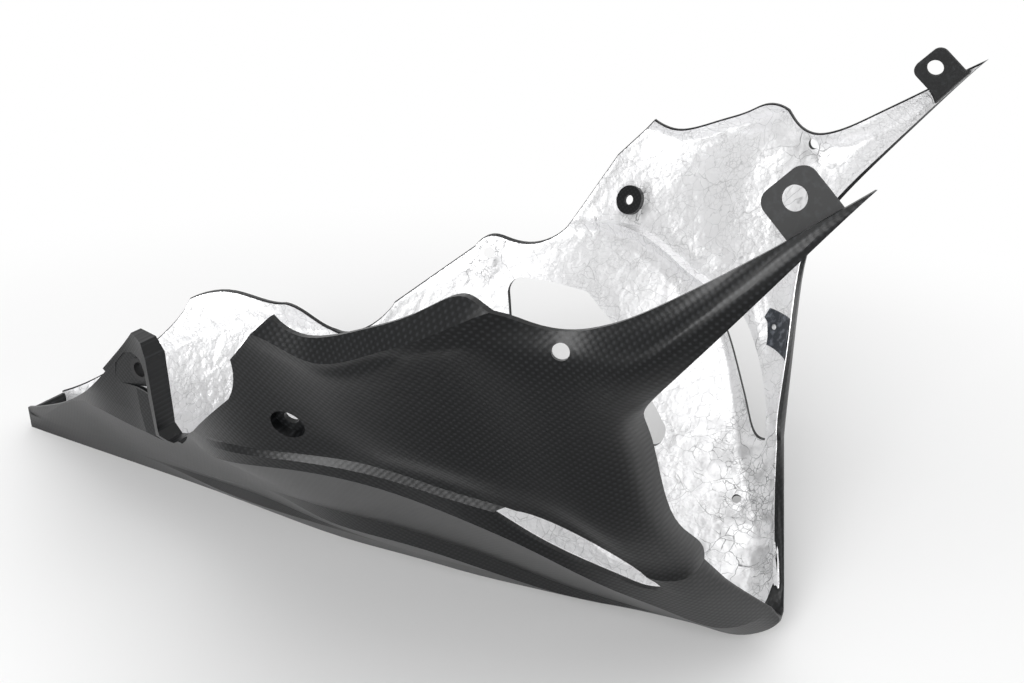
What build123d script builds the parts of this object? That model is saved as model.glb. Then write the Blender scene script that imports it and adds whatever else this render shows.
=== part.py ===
from build123d import *
import os

# Motorcycle belly pan: a thin boat-shaped moulding that hangs under the engine.
# Millimetres. X forward to the nose, Y to the left, Z up, keel standing on Z = 0.

# Sheets
wall = 2.2  # laminate of the pan
foil = 0.4  # heat foil bonded to the inside
foil_margin = 1.0  # bare laminate left between the foil and a trimmed edge

# Fixing holes
side_hole = 6.5
side_hole_at = (-38, 230)
rear_hole = 8.0
rear_hole_at = (-249, 134.5)
drain_hole = 5.5
drain_hole_at = (-34, 45)
cup_radius = 7.5
cup_depth = 4.0
cup_hole = 6.5
cup_at = (-156, 176)

# Boss panel at the rear right: pocket, return flange and flanged bush
boss_face = 88.0  # the panel stands this far from the middle plane
pocket_depth = 3.5
apron_depth = 1.8  # shallow pocket below the ridge
flange_depth = 8.0
bush_at = (-346, 119)
bush_hole = 9.0
bush_radius = 5.6
bush_flange_radius = 7.2
bush_flange = 1.2
bush_length = 8.0

# Brackets bonded inside the horns: a plate with a hole, a web out to the horn and a foot along it
ear_hole = 8.7
ear_hole_at = (28.2, 139.8, 284.7)
ear_along = (0.69, -0.17, 0.705)
ear_facing = (-0.02, -0.978, -0.208)
ear_width = 20.6
ear_top = 7.7  # from the hole to the free edge
ear_bottom = 13.0  # from the hole to the web
ear_corner = 5.0
bracket_thickness = 2.0
foot_at = (37, 272.5)
foot_length = 24.0
foot_height = 8.5
foot_turn = 33.0

# Spring clip on the front edge of the left wall
clip_thickness = 1.2
clip_hole = 3.0
clip_hole_at = (-38.5, 129.5)
CLIP_OUTLINE = [(-44, 138), (-46, 133), (-43.5, 131), (-41, 124), (-40.5, 120), (-25, 118), (-25, 137.5)]

# Stepped flank
channel_depth = 5.0  # how far the channel under the upper wall goes in
step_depth = 6.0  # how far a strake stands out below its inner corner
step_height = 13.0  # upright face of a strake where it is fully formed
step_trace = 2.5  # height left of a strake where it has faded out

# Stations across the body, from the tail to the last one before the front opening
STATION_X = [-547, -520, -480, -435, -390, -345, -295, -250, -205, -165, -130]
KEEL_HALF = [17, 18, 19, 20, 21, 23, 26, 27, 24, 22, 18]
CHINE = [(17, 14), (25, 20), (42, 44), (62, 68), (80, 80), (87, 79), (115, 104), (146.5, 129), (174, 143),
         (173.5, 148), (159, 141)]
CHANNEL = [(16.5, 18), (27, 28), (43, 52), (63.5, 78), (81.5, 90), (87.5, 92), (117, 116), (153, 146),
           (178, 156), (179, 159.5), (166.5, 156.5)]
CREASE = [(16, 25), (29, 44), (48, 76), (70, 100), (85, 108), (88, 132), (121, 130), (158, 158), (186, 184),
          (198, 220), (200, 217)]
EDGE = [(15.5, 32), (29.5, 52), (49, 84), (70.5, 108), (85, 118), (88, 144), (121, 140), (158.5, 168),
        (187, 194), (194, 232), (193, 232)]

# How each line runs on from the last station to the front opening or the horn tip
FRONT = {
    "keel": [(-100, 0, 0), (-72, 0, 0), (-50, 0, 0), (-30, 0, 0.2), (-9, 0, 1.4), (9.5, 0, 13), (2.4, 0, 22)],
    "keel_edge": [(-100, 14, 0), (-72, 9, 0), (-50, 6, 0), (-30, 5, 0.5), (-9, 4.5, 1.9), (9.3, 4, 14.5),
                  (3, 4, 24)],
    "chine": [(-100, 144, 127), (-72, 131, 112), (-50, 99, 80), (-30, 67, 52), (-10, 38, 29), (6, 16, 28),
              (4, 12, 30)],
    "rail": [(-100, 149.5, 139), (-72, 136.5, 129), (-51, 117, 109), (-33, 91, 83), (-17, 68, 64),
             (-8, 56, 65), (-8.3, 47, 66)],
    "channel": [(-100, 152, 145), (-73, 140, 136), (-52, 124, 119), (-34, 100, 93), (-22, 86, 84),
                (-15.5, 77, 84), (-14, 65, 86)],
    "foot_wall": [(-100, 160, 158), (-75, 148.5, 150), (-54, 136, 138), (-38, 121, 121), (-27, 108.5, 114),
                  (-20.5, 99, 114), (-19, 85, 113)],
    "low_wall": [(-100, 167, 170), (-77, 156, 164), (-57, 147, 156), (-42, 138, 147), (-30, 128, 144),
                 (-24.5, 118, 144), (-22.5, 105, 144)],
    "mid_wall": [(-100, 180, 196), (-78, 169, 193), (-58, 164, 191), (-43, 158, 188), (-31, 149, 186),
                 (-25.5, 141, 185), (-23, 127.5, 184)],
    "high_wall": [(-100, 192, 213), (-77, 183, 218), (-56, 178, 217), (-38, 172, 216), (-24, 169, 215),
                  (-16, 166, 214), (-9, 158, 212)],
    "horn": [(-100, 197, 220), (-77, 192, 228), (-54, 183, 232), (-35, 174, 232), (-13, 175, 234),
             (6, 173, 245), (26, 164, 257)],
    "crease": [(-100, 201, 226), (-78, 199, 236), (-57, 188, 246), (-38, 174, 247), (-10, 173, 256),
               (22, 159, 275), (63, 124, 298)],
    "edge": [(-100, 194, 240), (-77, 183, 252), (-56, 180, 258), (-36, 172, 260), (-8, 170, 268),
             (24, 156, 286), (66, 120, 308)],
}

# Where a strake's inner corner lies between keel edge and chine, and how far it is formed there
UPPER_STEP = [(0.82, 0), (0.7, 0), (0.45, 0), (0.45, 0), (0.45, 0), (0.45, 0), (0.48, 0), (0.53, 0.1),
              (0.55, 0.9), (0.48, 1), (0.32, 1), (0.17, 0.7), (0.10, 0.3), (0.10, 0), (0.10, 0), (0.12, 0),
              (0.14, 0), (0.16, 0)]
LOWER_STEP = [(0.5, 0), (0.4, 0), (0.25, 0), (0.25, 0), (0.25, 0.1), (0.28, 0.6), (0.27, 0.7), (0.20, 0.2),
              (0.16, 0), (0.14, 0), (0.12, 0)] + [(0.06, 0)] * 7
CHANNEL_FORM = [0] * 8 + [0.05, 1, 1, 1, 0.8, 0.4, 0.1, 0, 0, 0]

LINES = ["keel", "keel_edge", "lower_strake", "lower_corner", "upper_strake", "upper_corner", "chine",
         "rail", "groove", "channel", "foot_wall", "low_wall", "mid_wall", "high_wall", "horn", "crease", "edge"]
WALL_SHARE = {"foot_wall": 0.15, "low_wall": 0.3, "mid_wall": 0.6, "high_wall": 0.8, "horn": 0.9}


def share_of_way(start, end, share):
    """Point part of the way from start to end."""
    return start + (end - start) * share


def base_lines():
    """Lines of the left-hand outer skin that are set by their own points."""
    lines = {name: [] for name in LINES}
    for i, x in enumerate(STATION_X):
        chine = Vector(x, *CHINE[i])
        channel = Vector(x, *CHANNEL[i])
        crease = Vector(x, *CREASE[i])
        lines["keel"].append(Vector(x, 0, 0))
        lines["keel_edge"].append(Vector(x, KEEL_HALF[i], 0))
        lines["chine"].append(chine)
        lines["rail"].append(share_of_way(chine, channel, 0.55))
        lines["channel"].append(channel)
        for name, share in WALL_SHARE.items():
            lines[name].append(share_of_way(channel, crease, share))
        lines["crease"].append(crease)
        lines["edge"].append(Vector(x, *EDGE[i]))
    for name, points in FRONT.items():
        lines[name] += [Vector(*point) for point in points]
    return lines


def outer_lines():
    """All lines of the left-hand outer skin, from the keel up to the top edge."""
    lines = base_lines()
    for i in range(len(lines["keel"])):
        keel = lines["keel_edge"][i]
        chine = lines["chine"][i]
        up = (chine - keel).normalized()
        out = up.cross(Vector(1, 0, 0)).normalized()
        for name, step in (("lower", LOWER_STEP[i]), ("upper", UPPER_STEP[i])):
            share, form = step
            corner = share_of_way(keel, chine, share)
            drop = step_trace + (step_height - step_trace) * form
            drop = min(drop, share * (chine - keel).length * 0.4)
            lines[name + "_corner"].append(corner - out * step_depth * form * 0.4)
            lines[name + "_strake"].append(corner - up * drop + out * step_depth * form * 0.6)
        rail = lines["rail"][i]
        channel = lines["channel"][i]
        inward = (channel - rail).cross(Vector(-1, 0, 0)).normalized()
        groove = share_of_way(rail, channel, 0.6) + inward * channel_depth * CHANNEL_FORM[i]
        lines["groove"].append(groove)
    return [lines[name] for name in LINES]


def inset_lines(lines, depth):
    """The same lines moved inward, square to the skin, so that a sheet keeps its thickness."""
    moved = []
    for j, line in enumerate(lines):
        moved.append([point + corner_offset(lines, j, i) * depth for i, point in enumerate(line)])
    for point in moved[0]:
        point.Y = 0
    return moved


def corner_offset(lines, j, i):
    """Inward direction at a point of a line, lengthened where two strips of the skin meet at an angle."""
    above = strip_normal(lines, min(j, len(lines) - 2), i)
    below = strip_normal(lines, max(j - 1, 0), i)
    if j == 0:
        below = Vector(above.X, -above.Y, above.Z)
    if i == 0:
        above = Vector(0, above.Y, above.Z).normalized()
        below = Vector(0, below.Y, below.Z).normalized()
    return (above + below) / (1 + above.dot(below))


def strip_normal(lines, j, i):
    """Inward normal of the strip between line j and the next one at a station."""
    before = max(i - 1, 0)
    after = min(i + 1, len(lines[0]) - 1)
    along = lines[j][after] - lines[j][before] + lines[j + 1][after] - lines[j + 1][before]
    across = lines[j + 1][i] - lines[j][i]
    return along.cross(across).normalized()


def line_wire(line):
    """Smooth curve through the points of a line, with one even step to each station."""
    steps = [i / (len(line) - 1) for i in range(len(line))]
    return Wire([Edge.make_spline(line, parameters=steps)])


def skin_faces(lines):
    """Faces of one skin: a flat strip between crisp lines, one smooth face over the upper wall."""
    wires = [line_wire(line) for line in lines]
    first = LINES.index("channel")
    last = LINES.index("crease")
    faces = []
    for lower, upper in zip(wires[:first], wires[1:]):
        faces.append(Shell.make_loft([lower, upper], ruled=True).faces()[0])
    faces.append(Shell.make_loft(wires[first : last + 1]).faces()[0])
    faces.append(Shell.make_loft(wires[last:], ruled=True).faces()[0])
    return faces


def rim_face(first_edge, second_edge):
    """Narrow face across the thickness of a sheet, between an edge of its outer and of its inner skin."""
    return Shell.make_loft([Wire([first_edge]), Wire([second_edge])], ruled=True).faces()[0]


def sheet(outer, inner, first=0, last=None):
    """Thin solid between two skins, in one piece across the keel unless it starts at a higher strip."""
    outside = skin_faces(outer)[first:last]
    inside = skin_faces(inner)[first:last]
    faces = outside + inside
    for face, backing in zip(outside, inside):
        faces.append(rim_face(face.edges()[FRONT_END], backing.edges()[FRONT_END]))
        faces.append(rim_face(face.edges()[TAIL_END], backing.edges()[TAIL_END]))
    faces.append(rim_face(outside[-1].edges()[UPPER_SIDE], inside[-1].edges()[UPPER_SIDE]))
    if first > 0:
        faces.append(rim_face(outside[0].edges()[LOWER_SIDE], inside[0].edges()[LOWER_SIDE]))
    else:
        faces += [face.mirror(Plane.XZ) for face in faces]
    return Solid(Shell(faces))


def side_prism(runs, side, near=0, far=260):
    """Solid with an outline in side view, on the left (side 1) or on the right (side -1)."""
    edges = []
    for run in runs:
        points = [Vector(x, side * near, z) for x, z in run]
        edges.append(Edge.make_spline(points) if len(run) > 2 else Edge.make_line(*points))
    return extrude(Face(Wire(edges)), far - near, dir=(0, side, 0))


def loop(points):
    """Straight runs round a closed outline."""
    return [[start, end] for start, end in zip(points, points[1:] + points[:1])]


def above(runs, side, drop=0):
    """All that lies over an outline which runs from the horn back to the tail, lowered by drop."""
    runs = [[(x, z - drop) for x, z in run] for run in runs]
    front = runs[0][0]
    back = runs[-1][-1]
    sky = 400
    closing = [[back, (back[0], sky)], [(back[0], sky), (front[0], sky)], [(front[0], sky), front]]
    return side_prism(runs + closing, side)


def wall_plane(spot, side):
    """Plane on the outer skin at a place in side view, facing out."""
    across = Axis((spot[0], 0, spot[1]), (0, 1, 0))
    hits = [hit for face in skin_faces(pan_outside) for hit in face.find_intersection_points(across)]
    point, normal = max(hits, key=lambda hit: hit[0].Y)
    if normal.Y < 0:
        normal = -normal
    return Plane(origin=(point.X, side * point.Y, point.Z), z_dir=(normal.X, side * normal.Y, normal.Z))


def plug(plane, radius, top, bottom):
    """Cylinder square to a plane, from top above it to bottom below it."""
    return plane * Pos(0, 0, (top + bottom) / 2) * Cylinder(radius, top - bottom)


# A skin face is bounded by its lower line, the front end, its upper line and the tail end
LOWER_SIDE = 0
FRONT_END = 1
UPPER_SIDE = 2
TAIL_END = 3

# Trimmed edges in side view, from beyond the horn tip back to the tail
HORN_TO_PEAK = [(80, 307), (46, 286), (22.4, 269.5), (-4.8, 251.5), (-27.7, 239), (-38, 236.8), (-48, 239),
                (-59, 246), (-69, 249), (-84, 242.3), (-104, 233.5), (-124, 226), (-133, 224.6), (-141, 226),
                (-148, 229.5)]
RIGHT_EDGE = [HORN_TO_PEAK,
              [(-148, 229.5), (-172, 206)],
              [(-172, 206), (-174.5, 195), (-181, 184)],
              [(-181, 184), (-225, 148)],
              [(-225, 148), (-265, 119), (-303, 90), (-318, 80)],
              [(-318, 80), (-326, 78.5), (-332, 86)],
              [(-332, 86), (-332.5, 131)],
              [(-332.5, 131), (-337, 138), (-346, 140)],
              [(-346, 140), (-376, 111)],
              [(-376, 111), (-390, 98.8), (-422, 78), (-461, 55.7), (-509, 32.3), (-550, 15)]]
LEFT_EDGE = [HORN_TO_PEAK,
             [(-148, 229.5), (-172, 204)],
             [(-172, 204), (-182, 187), (-201, 154)],
             [(-201, 154), (-209, 146.5), (-223, 141.5), (-237, 144), (-246, 147), (-257, 140)],
             [(-257, 140), (-302, 102)],
             [(-302, 102), (-319, 84), (-335, 80), (-358, 89.5), (-379, 95.8)],
             [(-379, 95.8), (-404, 97), (-425, 100.5), (-440, 98), (-449, 94)],
             [(-449, 94), (-453, 85)],
             [(-453, 85), (-475, 60), (-501, 41), (-525, 26), (-550, 15)]]

# Cut-outs in side view
SLOT_UPPER = [(-84, 133.5), (-72, 136), (-62, 131.5), (-48, 118), (-38, 104), (-29.5, 86), (-26.5, 76)]
SLOT_LOWER = [(-26.5, 76), (-32, 75.5), (-43, 86), (-52.5, 98), (-67, 116), (-84, 133.5)]
FLANK_OPENING = [(-232, 122.5), (-170, 121.5), (-143, 110), (-76, 61), (-94, 59.5), (-190, 60), (-219, 101)]
opening_corner = 6.0
POCKET = [(-369, 106), (-366, 119), (-358, 127), (-350, 129.5), (-341, 128), (-336.5, 122), (-336, 109)]
APRON = [(-368, 105), (-361, 97), (-354, 86), (-345, 74), (-334, 74), (-335, 92), (-336.5, 108)]


FLANGE_PATH = [(-303, 90), (-318, 80), (-326, 78.5), (-332, 86), (-332.5, 131), (-337, 138), (-346, 140),
               (-376, 111)]
TAIL_TOP = 15.5
FLOOR_STRIPS = 2  # strips of the skin on each side of the keel that the middle foil covers


def slot(side):
    """Air slot under the foot of the upper wall."""
    return side_prism([SLOT_UPPER, SLOT_LOWER], side)


def flank_opening():
    """Large opening in the left flank, with rounded corners."""
    outline = Face(Wire([Edge.make_line((a[0], 0, a[1]), (b[0], 0, b[1])) for a, b in loop(FLANK_OPENING)]))
    outline = outline.fillet_2d(opening_corner, outline.vertices())
    return extrude(outline, 260, dir=(0, 1, 0))


def boss_backing():
    """Solid behind the boss panel that the pocket and the apron are sunk into."""
    pocket = side_prism(loop(POCKET), -1, boss_face - pocket_depth - wall, boss_face - 1)
    apron = side_prism(loop(APRON), -1, boss_face - apron_depth - wall, boss_face - 1)
    return pocket + apron


def boss_sinks():
    """What the pocket and the apron take out of the boss panel."""
    pocket = side_prism(loop(POCKET), -1, boss_face - pocket_depth, boss_face + 10)
    apron = side_prism(loop(APRON), -1, boss_face - apron_depth, boss_face + 10)
    return pocket + apron


def side_cylinder(spot, radius, side, near, far):
    """Cylinder along Y at a place in side view, between two distances from the middle plane."""
    middle = side * (near + far) / 2
    return Pos(spot[0], middle, spot[1]) * Rot(90, 0, 0) * Cylinder(radius, far - near)


def drill(spot, diameter):
    """Hole through the left flank."""
    return plug(wall_plane(spot, 1), diameter / 2, wall, -2 * wall)


def boss_flange():
    """Return flange round the boss panel and along the floor of the notch in front of it."""
    path = Polyline(*[(x, 0, z) for x, z in FLANGE_PATH])
    band = trace(Plane.XZ.to_local_coords(path), 2 * wall)
    return extrude(Plane.XZ * band, 130) - extrude(Plane.XZ * band, boss_face - flange_depth)


def horn_bracket():
    """Bracket of the left horn."""
    ear = Rectangle(ear_width, ear_top + ear_bottom)
    ear = fillet(ear.vertices().sort_by(Axis.Y)[-2:], ear_corner)
    ear = Pos(0, (ear_top - ear_bottom) / 2) * ear - Circle(ear_hole / 2)
    web = Pos(0, -ear_bottom, -12) * Box(ear_width, bracket_thickness, 24)
    web = (ear_place * web) & inside_foil
    foot_outline = Plane.XZ * Pos(*foot_at) * Rot(0, 0, foot_turn) * Rectangle(foot_length, foot_height)
    foot = extrude(foot_outline, -200) & sheet(foil_inside, bracket_inside)
    return ear_place * extrude(ear, -bracket_thickness) + web + foot


# Skins of the pan, of the foil on it, and of what is bonded onto the foil
pan_outside = outer_lines()
pan_inside = inset_lines(pan_outside, wall)
foil_inside = inset_lines(pan_outside, wall + foil)
bracket_inside = inset_lines(pan_outside, wall + foil + bracket_thickness)
clip_inside = inset_lines(pan_outside, wall + foil + clip_thickness)

# All space inside a skin, for what has to end at it
deep_lines = [[Vector(p.X, p.Y * 0.4, p.Z + 14) for p in line] for line in pan_outside]
inside_pan = sheet(pan_outside, deep_lines)
inside_foil = sheet(foil_inside, deep_lines)

# Pan: trimmed moulding with slots, opening and sunk fixings
pan = sheet(pan_outside, pan_inside)
tail_centre = Pos(STATION_X[0] + wall / 2, 0, TAIL_TOP / 2)
tail_plate = tail_centre * Box(wall, 2 * KEEL_HALF[0] - wall, TAIL_TOP - wall)
pan = pan + tail_plate + (boss_backing() & inside_pan)
pan = pan - above(RIGHT_EDGE, -1) - above(LEFT_EDGE, 1)
pan += boss_flange() & inside_pan
pan = pan - slot(1) - slot(-1) - flank_opening() - boss_sinks()

cup_back = {}
for side in (1, -1):
    cup = wall_plane(cup_at, side)
    cup_back[side] = plug(cup, cup_radius + wall, -wall / 2, -cup_depth - wall)
    pan = pan + cup_back[side] - plug(cup, cup_radius, wall, -cup_depth) - plug(cup, cup_hole / 2, wall, -20)
    pan -= plug(wall_plane(side_hole_at, side), side_hole / 2, wall, -20)

flank_holes = drill(rear_hole_at, rear_hole) + drill(drain_hole_at, drain_hole)
bush_seat = side_cylinder(bush_at, bush_radius, -1, boss_face - 30, boss_face)
pan = pan - flank_holes - bush_seat

# Foil: one sheet on the floor and one up each side
foil_floor = sheet(pan_inside, foil_inside, 0, FLOOR_STRIPS) - tail_plate - flank_holes
side_foil = sheet(pan_inside, foil_inside, FLOOR_STRIPS) - tail_plate
foil_left = side_foil - above(LEFT_EDGE, 1, foil_margin) - slot(1)
foil_left = foil_left - flank_opening() - flank_holes - cup_back[1]
foil_right = side_foil.mirror(Plane.XZ) - above(RIGHT_EDGE, -1, foil_margin) - slot(-1) - cup_back[-1]
foil_right = foil_right - boss_backing() - boss_flange()
for side in (1, -1):
    hole = plug(wall_plane(side_hole_at, side), side_hole / 2, wall, -20)
    foil_left -= hole
    foil_right -= hole

# Pieces of their own
ear_place = Plane(origin=ear_hole_at, x_dir=ear_along, z_dir=ear_facing)
bracket_left = horn_bracket()
bracket_right = bracket_left.mirror(Plane.XZ)
clip_hole_cut = side_cylinder(clip_hole_at, clip_hole / 2, 1, 100, 160)
clip = sheet(foil_inside, clip_inside) & side_prism(loop(CLIP_OUTLINE), 1, 60, 160)
clip -= clip_hole_cut
floor_of_pocket = boss_face - pocket_depth
bush = side_cylinder(bush_at, bush_radius, -1, floor_of_pocket - bush_length, floor_of_pocket)
bush += side_cylinder(bush_at, bush_flange_radius, -1, floor_of_pocket, floor_of_pocket + bush_flange)
bush -= side_cylinder(bush_at, bush_hole / 2, -1, 0, boss_face)

# The origin is on the ground, under the middle of the whole length
length = pan.bounding_box()
origin = Pos(-(length.min.X + length.max.X) / 2, 0, 0)
print("origin moved", origin.position)

os.makedirs("parts", exist_ok=True)
nodes = {
    "pan_shell": pan,
    "foil_floor": foil_floor,
    "foil_left": foil_left,
    "foil_right": foil_right,
    "horn_bracket_left": bracket_left,
    "horn_bracket_right": bracket_right,
    "edge_clip": clip,
    "boss_bush": bush,
}
for name, shape in nodes.items():
    export_step(origin * shape, "parts/" + name + ".step")
    print(name, len(shape.solids()), round(shape.volume), shape.is_valid)
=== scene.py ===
# %% [markdown]
# # A motorcycle belly pan, dressed for a studio picture
#
# The pan is a thin carbon moulding that hangs under the engine, lined with bright heat foil. Its shape
# comes from the CAD model, which is loaded first and stays where it is. This script adds what CAD leaves
# out: the weave and the satin coat of the laminate, the creases of the foil, the black brackets, and a
# bright studio.

# %% Load the frame
import math

import bmesh
import bpy
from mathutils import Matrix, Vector, noise
from mathutils.bvhtree import BVHTree


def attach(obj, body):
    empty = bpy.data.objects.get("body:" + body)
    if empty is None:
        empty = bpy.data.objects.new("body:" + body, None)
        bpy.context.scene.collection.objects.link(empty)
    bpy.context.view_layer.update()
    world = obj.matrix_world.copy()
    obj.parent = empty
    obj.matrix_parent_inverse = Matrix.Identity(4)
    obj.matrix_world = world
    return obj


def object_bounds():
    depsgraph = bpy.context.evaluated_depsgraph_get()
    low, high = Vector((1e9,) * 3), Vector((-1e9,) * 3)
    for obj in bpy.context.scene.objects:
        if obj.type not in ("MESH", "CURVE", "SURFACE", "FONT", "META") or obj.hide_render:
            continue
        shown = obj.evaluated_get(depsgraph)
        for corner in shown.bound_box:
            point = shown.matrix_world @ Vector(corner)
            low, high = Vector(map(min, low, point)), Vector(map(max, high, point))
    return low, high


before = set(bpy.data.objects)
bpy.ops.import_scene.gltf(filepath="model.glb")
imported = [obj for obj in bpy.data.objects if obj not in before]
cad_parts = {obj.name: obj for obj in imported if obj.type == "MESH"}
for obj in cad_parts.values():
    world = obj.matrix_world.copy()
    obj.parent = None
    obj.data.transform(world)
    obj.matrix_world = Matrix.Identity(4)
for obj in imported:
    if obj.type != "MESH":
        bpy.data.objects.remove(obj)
cad_low, cad_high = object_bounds()
mm = 0.001
from_front_axis = cad_low[0] + 547 * mm  # the tail lies 547 mm behind the zero that places are measured from
print("CAD box from", [round(v, 3) for v in cad_low], "to", [round(v, 3) for v in cad_high])

# %% [markdown]
# ## Three helpers
#
# Colours are given as sRGB hex values, but Blender mixes light in linear values, so one function
# turns the first into the second. The next adds a shader node, sets it up and links it in a single line. The
# last starts an empty material.


# %% Colour and node helpers
def linear(hex_colour):
    """Linear colour of an sRGB hex value."""
    values = [int(hex_colour[i : i + 2], 16) / 255 for i in (1, 3, 5)]
    return [v / 12.92 if v <= 0.04045 else ((v + 0.055) / 1.055) ** 2.4 for v in values] + [1.0]


def add(tree, kind, inputs=None, **settings):
    """Adds a node. inputs maps a socket's name or number to a value or to another node's output."""
    node = tree.nodes.new(kind)
    for name, value in settings.items():
        setattr(node, name, value)
    for key, value in (inputs or {}).items():
        if isinstance(value, bpy.types.NodeSocket):
            tree.links.new(value, node.inputs[key])
        else:
            node.inputs[key].default_value = value
    return node


def new_material(name):
    """Empty material, with its tree and its output node."""
    material = bpy.data.materials.new(name)
    material.use_nodes = True
    material.node_tree.nodes.clear()
    return material, material.node_tree, add(material.node_tree, "ShaderNodeOutputMaterial")


# %% [markdown]
# ## Carbon laminate
#
# The real skin is plain-woven carbon cloth in epoxy, with a satin clear coat. Each tow is about 1.5 mm
# wide, and warp and weft catch the light in turn, which gives the fine dotted look. The cloth lies in the
# mould along the body, so the pattern follows X, and for its other direction the height, which both walls
# share.

# %% Woven carbon under a satin coat
tow = 1.55 * mm
weave_height = 0.12 * mm
carbon, tree, output = new_material("woven_carbon_laminate")
place = add(tree, "ShaderNodeTexCoord")
axes = add(tree, "ShaderNodeSeparateXYZ", {0: place.outputs["Object"]})
waves = []
for axis in ("X", "Z"):
    turn = add(tree, "ShaderNodeMath", {0: axes.outputs[axis], 1: math.pi / tow}, operation="MULTIPLY")
    waves.append(add(tree, "ShaderNodeMath", {0: turn.outputs[0]}, operation="SINE"))
weave = add(tree, "ShaderNodeMath", {0: waves[0].outputs[0], 1: waves[1].outputs[0]}, operation="MULTIPLY")
tone = add(tree, "ShaderNodeMapRange", {"Value": weave.outputs[0], "From Min": 0.1, "From Max": 1.0})
tows = add(tree, "ShaderNodeMix", {0: tone.outputs[0]}, data_type="RGBA")
tows.inputs[6].default_value = linear("#08090a")
tows.inputs[7].default_value = linear("#1f2022")
relief = add(tree, "ShaderNodeBump", {
    "Height": weave.outputs[0],
    "Strength": 0.25,
    "Distance": weave_height,
})
cloud = add(tree, "ShaderNodeTexNoise", {"Vector": place.outputs["Object"], "Scale": 9.0, "Detail": 3.0})
rough = add(tree, "ShaderNodeMapRange", {"Value": cloud.outputs["Fac"], "To Min": 0.34, "To Max": 0.44})
shader = add(tree, "ShaderNodeBsdfPrincipled", {
    "Base Color": tows.outputs[2],
    "Roughness": rough.outputs[0],
    "IOR": 1.5,
    "Specular IOR Level": 0.36,
    "Normal": relief.outputs[0],
})
tree.links.new(shader.outputs[0], output.inputs[0])
print("laminate tow", round(tow / mm, 2), "mm")

# %% [markdown]
# ## Crinkled foil
#
# Heat foil is thin aluminium, pressed on by hand, so it is covered in small sharp creases that show as
# hair-thin dark lines where the foil turns away from the light; here these lines are painted shade in the
# foil's colour. Creases meet at corners and leave small flat facets, so they are drawn as the borders of
# bent Voronoi cells. Three sizes of cell, coarse to fine, are masked by clouds, so that the creases come in
# patches. The facets tilt a little as well. Around the holes and the glued brackets the foil is drawn
# darker, with grey blots and stronger painted crease shade.

# %% Hair lines of painted crease shade on the foil
foil, tree, output = new_material("pressed_aluminium_foil")
place = add(tree, "ShaderNodeTexCoord")


def crease_shade_lines(cells, width, low, high, patches):
    """Borders of bent cells as thin lines of painted crease shade, kept only in patches. Cells and patches
    are counted per metre.
    """
    bend = add(tree, "ShaderNodeTexNoise", {
        "Vector": place.outputs["Object"],
        "Scale": 0.8 * cells,
        "Detail": 3.0,
    })
    bent = add(tree, "ShaderNodeVectorMath", {
        0: bend.outputs["Color"],
        1: (0.9 / cells,) * 3,
        2: place.outputs["Object"],
    }, operation="MULTIPLY_ADD")
    border = add(tree, "ShaderNodeTexVoronoi", {"Vector": bent.outputs[0], "Scale": cells},
                 feature="DISTANCE_TO_EDGE")
    line = add(tree, "ShaderNodeMapRange", {
        "Value": border.outputs["Distance"],
        "From Max": width,
        "To Min": 1.0,
        "To Max": 0.0,
    })
    cloud = add(tree, "ShaderNodeTexNoise", {
        "Vector": place.outputs["Object"],
        "Scale": patches,
        "Detail": 4.0,
        "Roughness": 0.65,
    })
    inside = add(tree, "ShaderNodeMapRange", {
        "Value": cloud.outputs["Fac"],
        "From Min": low,
        "From Max": high,
    })
    return add(tree, "ShaderNodeMath", {0: line.outputs[0], 1: inside.outputs[0]}, operation="MULTIPLY")


# Three sizes of painted crease shade lines in the foil's colour.
coarse = crease_shade_lines(42.0, 0.012, 0.38, 0.54, 60.0)
middling = crease_shade_lines(125.0, 0.034, 0.38, 0.56, 75.0)
fine = crease_shade_lines(300.0, 0.080, 0.44, 0.62, 48.0)
print("creases about", [round(1000 / cells) for cells in (42.0, 125.0, 300.0)], "mm apart")

# %% [markdown]
# ### Darker places
#
# The foil is drawn darker round the holes, the brackets, the clip and the drain at the nose.
# Each such place is a ball round a point of the foil, and the same point on the other side. The distance to
# the nearest one makes the painted crease shade darker and lets grey blots show. The points are in
# millimetres from the front axis.

# %% Darker places of the foil
DARKER_PLACES = [((-253, 146, 134), 26), ((-41, 92, 45), 48), ((-6, 60, 38), 60), ((-155, 178, 176), 17),
           ((-38, 176, 230), 15), ((36, 158, 262), 20), ((-42, 128, 112), 16), ((-120, 88, 96), 16)]
closeness = []
for (x, y, z), radius in DARKER_PLACES:
    for side in (1, -1):
        centre = (x * mm + from_front_axis, side * y * mm, z * mm)
        away = add(tree, "ShaderNodeVectorMath", {
            0: place.outputs["Object"],
            1: centre,
        }, operation="DISTANCE")
        close = add(tree, "ShaderNodeMapRange", {
            "Value": away.outputs["Value"],
            "From Max": radius * mm,
            "To Min": 1.0,
            "To Max": 0.0,
        })
        closeness.append(close)
near = closeness[0]
for close in closeness[1:]:
    near = add(tree, "ShaderNodeMath", {0: near.outputs[0], 1: close.outputs[0]}, operation="MAXIMUM")
# Grey blots that darken the foil's colour near the listed places.
blot_noise = add(tree, "ShaderNodeTexNoise", {
    "Vector": place.outputs["Object"],
    "Scale": 90.0,
    "Detail": 5.0,
    "Distortion": 0.8,
})
blot = add(tree, "ShaderNodeMapRange", {"Value": blot_noise.outputs["Fac"], "From Min": 0.42, "From Max": 0.62})
grey_blots = add(tree, "ShaderNodeMath", {0: near.outputs[0], 1: blot.outputs[0]}, operation="MULTIPLY")
dark = add(tree, "ShaderNodeMath", {0: grey_blots.outputs[0], 1: 0.75}, operation="MULTIPLY")
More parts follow.
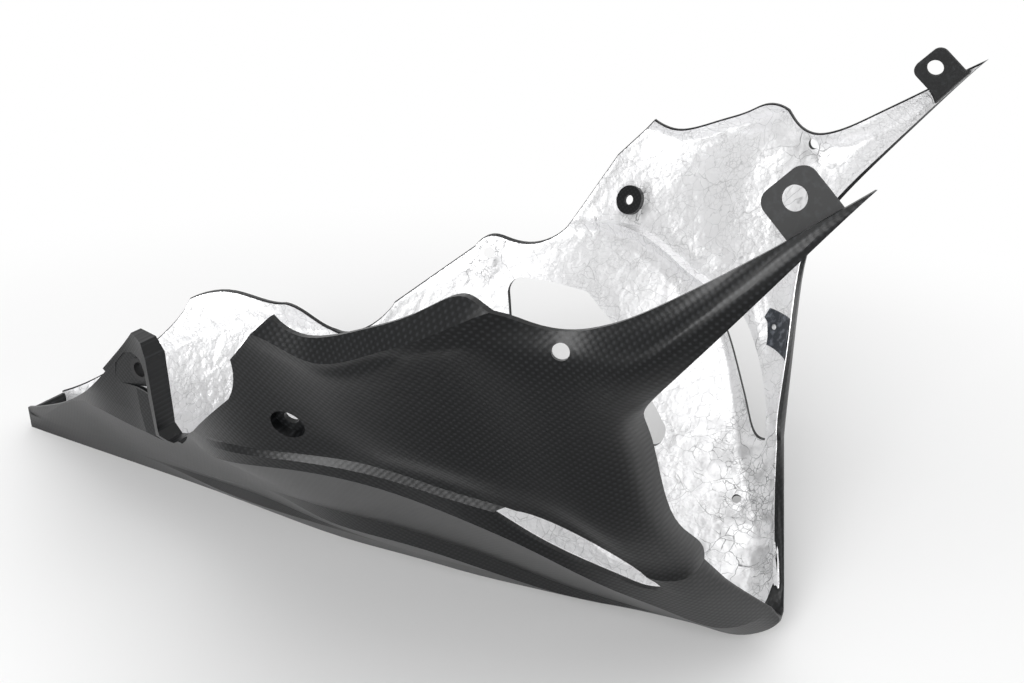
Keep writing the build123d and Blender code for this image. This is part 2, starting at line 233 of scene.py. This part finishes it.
# Crease lines darken the foil's colour as painted shade, more strongly near the listed places.
for lines, strength in ((coarse, 0.8), (middling, 0.7), (fine, 0.6)):
    crease_shade_gain = add(tree, "ShaderNodeMapRange", {
        "Value": near.outputs[0],
        "From Max": 0.4,
        "To Min": 0.5 * strength,
        "To Max": 1.3 * strength,
    })
    part = add(tree, "ShaderNodeMath", {0: lines.outputs[0], 1: crease_shade_gain.outputs[0]}, operation="MULTIPLY")
    dark = add(tree, "ShaderNodeMath", {0: dark.outputs[0], 1: part.outputs[0]}, operation="MAXIMUM")
print("foil darker at", len(DARKER_PLACES), "places a side")

# %% [markdown]
# ### The foil's shader
#
# Bare aluminium is bright and grey-white. The felt behind it and the fine crumple scatter the light, so the
# shader is only part metal and fairly rough. Small facets between the creases tilt a little, as a bump of
# about a millimetre.

# %% Shader of the foil
facet_depth = 1.2 * mm
facets = add(tree, "ShaderNodeTexVoronoi", {
    "Vector": place.outputs["Object"],
    "Scale": 120.0,
    "Detail": 2.0,
    "Roughness": 0.6,
})
relief = add(tree, "ShaderNodeBump", {
    "Height": facets.outputs["Distance"],
    "Strength": 0.3,
    "Distance": facet_depth,
})
# Along the crease lines the colour turns dark grey as painted crease shade; the grey blots darken it too.
tint = add(tree, "ShaderNodeMix", {0: dark.outputs[0]}, data_type="RGBA")
tint.inputs[6].default_value = linear("#f3f3f4")
tint.inputs[7].default_value = linear("#26272a")
shader = add(tree, "ShaderNodeBsdfPrincipled", {
    "Base Color": tint.outputs[2],
    "Metallic": 0.7,
    "Roughness": 0.42,
    "Normal": relief.outputs[0],
})
tree.links.new(shader.outputs[0], output.inputs[0])
print("foil facets", round(facet_depth / mm, 1), "mm deep")

# %% [markdown]
# ## Brackets, clip and bush
#
# The brackets are bent steel with black powder coat, a little scuffed. The clip is dark spring steel, and
# the bush in the boss is black rubber.

# %% Powder coat, spring steel and rubber
def plain_finish(name, low, high, roughness, metallic, grain):
    """Finish with a fine grain between two tones."""
    material, tree, output = new_material(name)
    place = add(tree, "ShaderNodeTexCoord")
    speck = add(tree, "ShaderNodeTexNoise", {
        "Vector": place.outputs["Object"],
        "Scale": 1 / grain,
        "Detail": 4.0,
    })
    scuff = add(tree, "ShaderNodeMapRange", {
        "Value": speck.outputs["Fac"],
        "From Min": 0.5,
        "From Max": 0.72,
    })
    tint = add(tree, "ShaderNodeMix", {"Factor": scuff.outputs[0]}, data_type="RGBA")
    tint.inputs[6].default_value = linear(low)
    tint.inputs[7].default_value = linear(high)
    relief = add(tree, "ShaderNodeBump", {
        "Height": speck.outputs["Fac"],
        "Strength": 0.2,
        "Distance": 0.1 * mm,
    })
    shader = add(tree, "ShaderNodeBsdfPrincipled", {
        "Base Color": tint.outputs[2],
        "Metallic": metallic,
        "Roughness": roughness,
        "Normal": relief.outputs[0],
    })
    tree.links.new(shader.outputs[0], output.inputs[0])
    print(name, low, "to", high)
    return material


powder_coat = plain_finish("black_powder_coat", "#0b0c0d", "#1c1e20", 0.6, 0.0, 2 * mm)
spring_steel = plain_finish("dark_spring_steel", "#3a3d42", "#6c7077", 0.4, 0.6, 3 * mm)
rubber = plain_finish("black_rubber", "#0d0d0e", "#1b1b1c", 0.5, 0.0, 1 * mm)

# %% [markdown]
# ## Finishes on the CAD nodes
#
# The CAD nodes keep their meshes. Each one gets a finish in its material slots.

# %% Give the CAD nodes their finishes
finishes = {"pan_shell": carbon, "foil_floor": foil, "foil_left": foil, "foil_right": foil,
            "horn_bracket_left": powder_coat, "horn_bracket_right": powder_coat,
            "edge_clip": spring_steel, "boss_bush": rubber}
for name, finish in finishes.items():
    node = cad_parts[name]
    for i in range(len(node.material_slots)):
        node.material_slots[i].material = finish
    print(name, len(node.data.polygons), "faces,", finish.name)

# %% [markdown]
# ## Crumpled surface of the foil
#
# Hair lines alone would leave the foil flat, so its surface is raised for real as well. Rays from the
# middle of the pan find the foil on a fine grid, and the grid is pushed inward by ridged noise, in folds of
# about 4 to 18 mm. The push fades out towards each edge and hole, where the grid lies down on the CAD foil
# and ends.

# %% Crumple
step = 1.6 * mm
fold_height = 0.9 * mm
noise.seed_set(7)  # any fixed number but 0, or the folds would be others on each run
lift = 0.04 * mm  # keeps the flat rim of the grid just clear of the CAD foil
fade_rings = 3  # grid points over which the folds grow to their full height
lowest_ray = 6 * mm
columns = range(int(cad_low[0] / step), int(cad_high[0] / step) + 1)
rows = range(int(lowest_ray / step), int(cad_high[2] / step) + 1)


def ridges(point):
    """Sharp folds at three sizes, from 0 to about 1."""
    bent = point * 55 + 0.9 * noise.noise_vector(point * 35)
    total = 0
    for size, share in ((1.0, 0.5), (2.3, 0.3), (5.1, 0.2)):
        total += share * (1 - abs(noise.noise(bent * size))) ** 3
    return total


def crumple(name, tree_of_foil, direction):
    """Grid laid on the foil by rays from the middle plane, pushed off it in folds."""
    grid = {}
    for i in columns:
        for j in rows:
            hit, normal = tree_of_foil.ray_cast(Vector((i * step, 0, j * step)), direction)[:2]
            if hit is not None:
                if normal.dot(direction) > 0:
                    normal = -normal
                grid[i, j] = (hit, normal)
    depth = {}
    ring = set(grid)
    for level in range(fade_rings + 2):
        for key in ring:
            depth[key] = level
        ring = {(i, j) for i, j in ring if all(
            (i + a, j + b) in ring and (grid[i + a, j + b][0] - grid[i, j][0]).length < 3 * step
            for a, b in ((1, 0), (-1, 0), (0, 1), (0, -1)))}
    mesh = bmesh.new()
    points = {}
    for key, level in depth.items():
        if level > 0:
            hit, normal = grid[key]
            push = lift + fold_height * ridges(hit) * (level - 1) / fade_rings
            points[key] = mesh.verts.new(hit + normal * push)
    for i, j in points:
        corners = [points.get(key) for key in ((i, j), (i + 1, j), (i + 1, j + 1), (i, j + 1))]
        if all(corners) and (corners[0].co - corners[2].co).length < 4 * step:
            mesh.faces.new(corners)
    loose = [vertex for vertex in mesh.verts if not vertex.link_faces]
    bmesh.ops.delete(mesh, geom=loose, context="VERTS")
    bmesh.ops.recalc_face_normals(mesh, faces=mesh.faces)
    data = bpy.data.meshes.new(name)
    mesh.to_mesh(data)
    mesh.free()
    data.materials.append(foil)
    for polygon in data.polygons:
        polygon.use_smooth = True
    item = bpy.data.objects.new(name, data)
    bpy.context.collection.objects.link(item)
    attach(item, "root")
    print(name, len(data.polygons), "faces")


for side, name in ((1, "left"), (-1, "right")):
    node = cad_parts["foil_" + name]
    node_mesh = bmesh.new()
    node_mesh.from_mesh(node.data)
    node_mesh.transform(node.matrix_world)
    found = BVHTree.FromBMesh(node_mesh)
    crumple("foil_crumple_" + name, found, Vector((0, side, 0)))
    node_mesh.free()

# %% [markdown]
# ## Studio
#
# The pan stands on a white floor that runs out of sight. Far from the pan the floor glows for the camera,
# so that no horizon shows, and near it the floor is plain white card that takes the shadow.

# %% Floor
card_centre = (50 * mm, -100 * mm, 0)
card_reach = 250 * mm  # within this the floor is plain card
glow_reach = 850 * mm  # beyond this it only glows
floor_material, tree, output = new_material("white_card_floor")
place = add(tree, "ShaderNodeTexCoord")
away = add(tree, "ShaderNodeVectorMath", {0: place.outputs["Object"], 1: card_centre}, operation="DISTANCE")
fade = add(tree, "ShaderNodeMapRange", {
    "Value": away.outputs["Value"],
    "From Min": card_reach,
    "From Max": glow_reach,
}, interpolation_type="SMOOTHSTEP")
rays = add(tree, "ShaderNodeLightPath")
seen = add(tree, "ShaderNodeMath", {0: rays.outputs["Is Camera Ray"], 1: rays.outputs["Is Glossy Ray"]},
           operation="MAXIMUM")
glow = add(tree, "ShaderNodeMath", {0: fade.outputs[0], 1: seen.outputs[0]}, operation="MULTIPLY")
card = add(tree, "ShaderNodeBsdfDiffuse", {"Color": linear("#ececec")})
white = add(tree, "ShaderNodeEmission", {"Strength": 1.0})
mixed = add(tree, "ShaderNodeMixShader", {0: glow.outputs[0], 1: card.outputs[0], 2: white.outputs[0]})
tree.links.new(mixed.outputs[0], output.inputs[0])
middle_x = (cad_low[0] + cad_high[0]) / 2
bpy.ops.mesh.primitive_plane_add(size=14, location=(middle_x, 0, cad_low[2] - 0.2 * mm))
floor = bpy.context.object
floor.name = "floor"
floor.data.materials.append(floor_material)
print("floor glows beyond", round(glow_reach, 2), "m")

# %% [markdown]
# ### Room and lamps
#
# The room is a white sky that is brighter above and behind the pan than on the camera's side. The camera
# itself sees plain white. Four soft boxes add shape: two from above and behind, one over the right wall,
# and a wide one in front that reaches the foil on the far side.

# %% Room light
front_level = 0.3
back_level = 0.8
top_level = 0.6
world = bpy.data.worlds.new("studio")
bpy.context.scene.world = world
world.use_nodes = True
tree = world.node_tree
tree.nodes.clear()
place = add(tree, "ShaderNodeTexCoord")
axes = add(tree, "ShaderNodeSeparateXYZ", {0: place.outputs["Generated"]})
back = add(tree, "ShaderNodeMapRange", {
    "Value": axes.outputs["Y"],
    "From Min": -0.6,
    "From Max": 0.5,
    "To Min": front_level,
    "To Max": back_level,
})
top = add(tree, "ShaderNodeMapRange", {
    "Value": axes.outputs["Z"],
    "From Min": 0.35,
    "From Max": 0.9,
    "To Max": top_level,
})
bright = add(tree, "ShaderNodeMath", {0: back.outputs[0], 1: top.outputs[0]}, operation="MAXIMUM")
rays = add(tree, "ShaderNodeLightPath")
level = add(tree, "ShaderNodeMix", {0: rays.outputs["Is Camera Ray"], 2: bright.outputs[0], 3: 1.0})
sky = add(tree, "ShaderNodeBackground", {"Color": (1, 1, 1, 1), "Strength": level.outputs[0]})
add(tree, "ShaderNodeOutputWorld", {0: sky.outputs[0]})
print("room light", front_level, "in front,", back_level, "behind,", top_level, "above")


# %% Soft boxes
def soft_box(name, location, target, width, power):
    """Square area lamp that points at a target."""
    lamp = bpy.data.lights.new(name, "AREA")
    lamp.size = width
    lamp.energy = power
    item = bpy.data.objects.new(name, lamp)
    item.location = location
    item.rotation_euler = (Vector(target) - Vector(location)).to_track_quat("-Z", "Y").to_euler()
    bpy.context.collection.objects.link(item)
    print(name, power, "W")


soft_box("overhead", (0.0, 0.3, 1.8), (0, 0, 0.1), 1.6, 2)
soft_box("behind_left", (-1.2, 1.4, 1.0), (0, 0, 0.1), 1.2, 3)
soft_box("over_the_right_wall", (0.1, -0.5, 1.6), (0, 0, 0.1), 0.9, 3)
soft_box("front_fill", (0.4, -2.0, 1.05), (0, 0.1, 0.2), 1.5, 57)

# %% [markdown]
# ### Grey sheet seen only in reflections
#
# The outer wall is glossy and leans over, so what it shows is the floor in front of it. A grey sheet lies
# there, below the picture's lower edge, as a painted reflection that keeps that wall dark. The sheet shows
# only in reflections, so it takes no light from the floor and isn't seen from other sides.

# %% Reflection-only grey sheet in front of the pan
reflection_sheet_centre = (from_front_axis + 237 * mm, -628 * mm, cad_low[2] + 0.5 * mm)
reflection_sheet_material, tree, output = new_material("reflection_only_grey")
reflection_sheet_grey = add(tree, "ShaderNodeBsdfDiffuse", {"Color": linear("#989898")})
tree.links.new(reflection_sheet_grey.outputs[0], output.inputs[0])
bpy.ops.mesh.primitive_plane_add(size=1.0, location=reflection_sheet_centre)
reflection_sheet = bpy.context.object
reflection_sheet.name = "reflection_only_grey_sheet"
reflection_sheet.scale = (3.0, 1.2, 1)
reflection_sheet.rotation_euler = (0, 0, math.radians(28.2))  # square to the camera
# Seen only by glossy rays: a painted reflection that darkens the outer wall.
reflection_sheet.visible_camera = False
reflection_sheet.visible_shadow = False
reflection_sheet.visible_diffuse = False
reflection_sheet.data.materials.append(reflection_sheet_material)
print("reflection_sheet_grey", reflection_sheet.scale.x, "by", round(reflection_sheet.scale.y, 2), "m")
bpy.context.scene.view_settings.view_transform = "Standard"

# %% [markdown]
# ## Camera
#
# The picture is taken from the right and a little ahead of the middle, about 23 degrees above the floor,
# from close by, so the nose is seen much larger than the tail.

# %% Camera at the photograph's view
picture_width = 1024
focal_pixels = 1100
azimuth = math.radians(28.2)
elevation = math.radians(23.48)
ahead = 110.35 * mm
out = 487.19 * mm
up = 383.9 * mm
camera_data = bpy.data.cameras.new("view")
camera_data.sensor_width = 36
camera_data.lens = focal_pixels / picture_width * camera_data.sensor_width
camera = bpy.data.objects.new("view", camera_data)
camera.location = (from_front_axis + ahead, -out, up)
camera.rotation_euler = (math.pi / 2 - elevation, 0, azimuth)
bpy.context.collection.objects.link(camera)
bpy.context.scene.camera = camera
print("lens", round(camera_data.lens, 2), "mm")
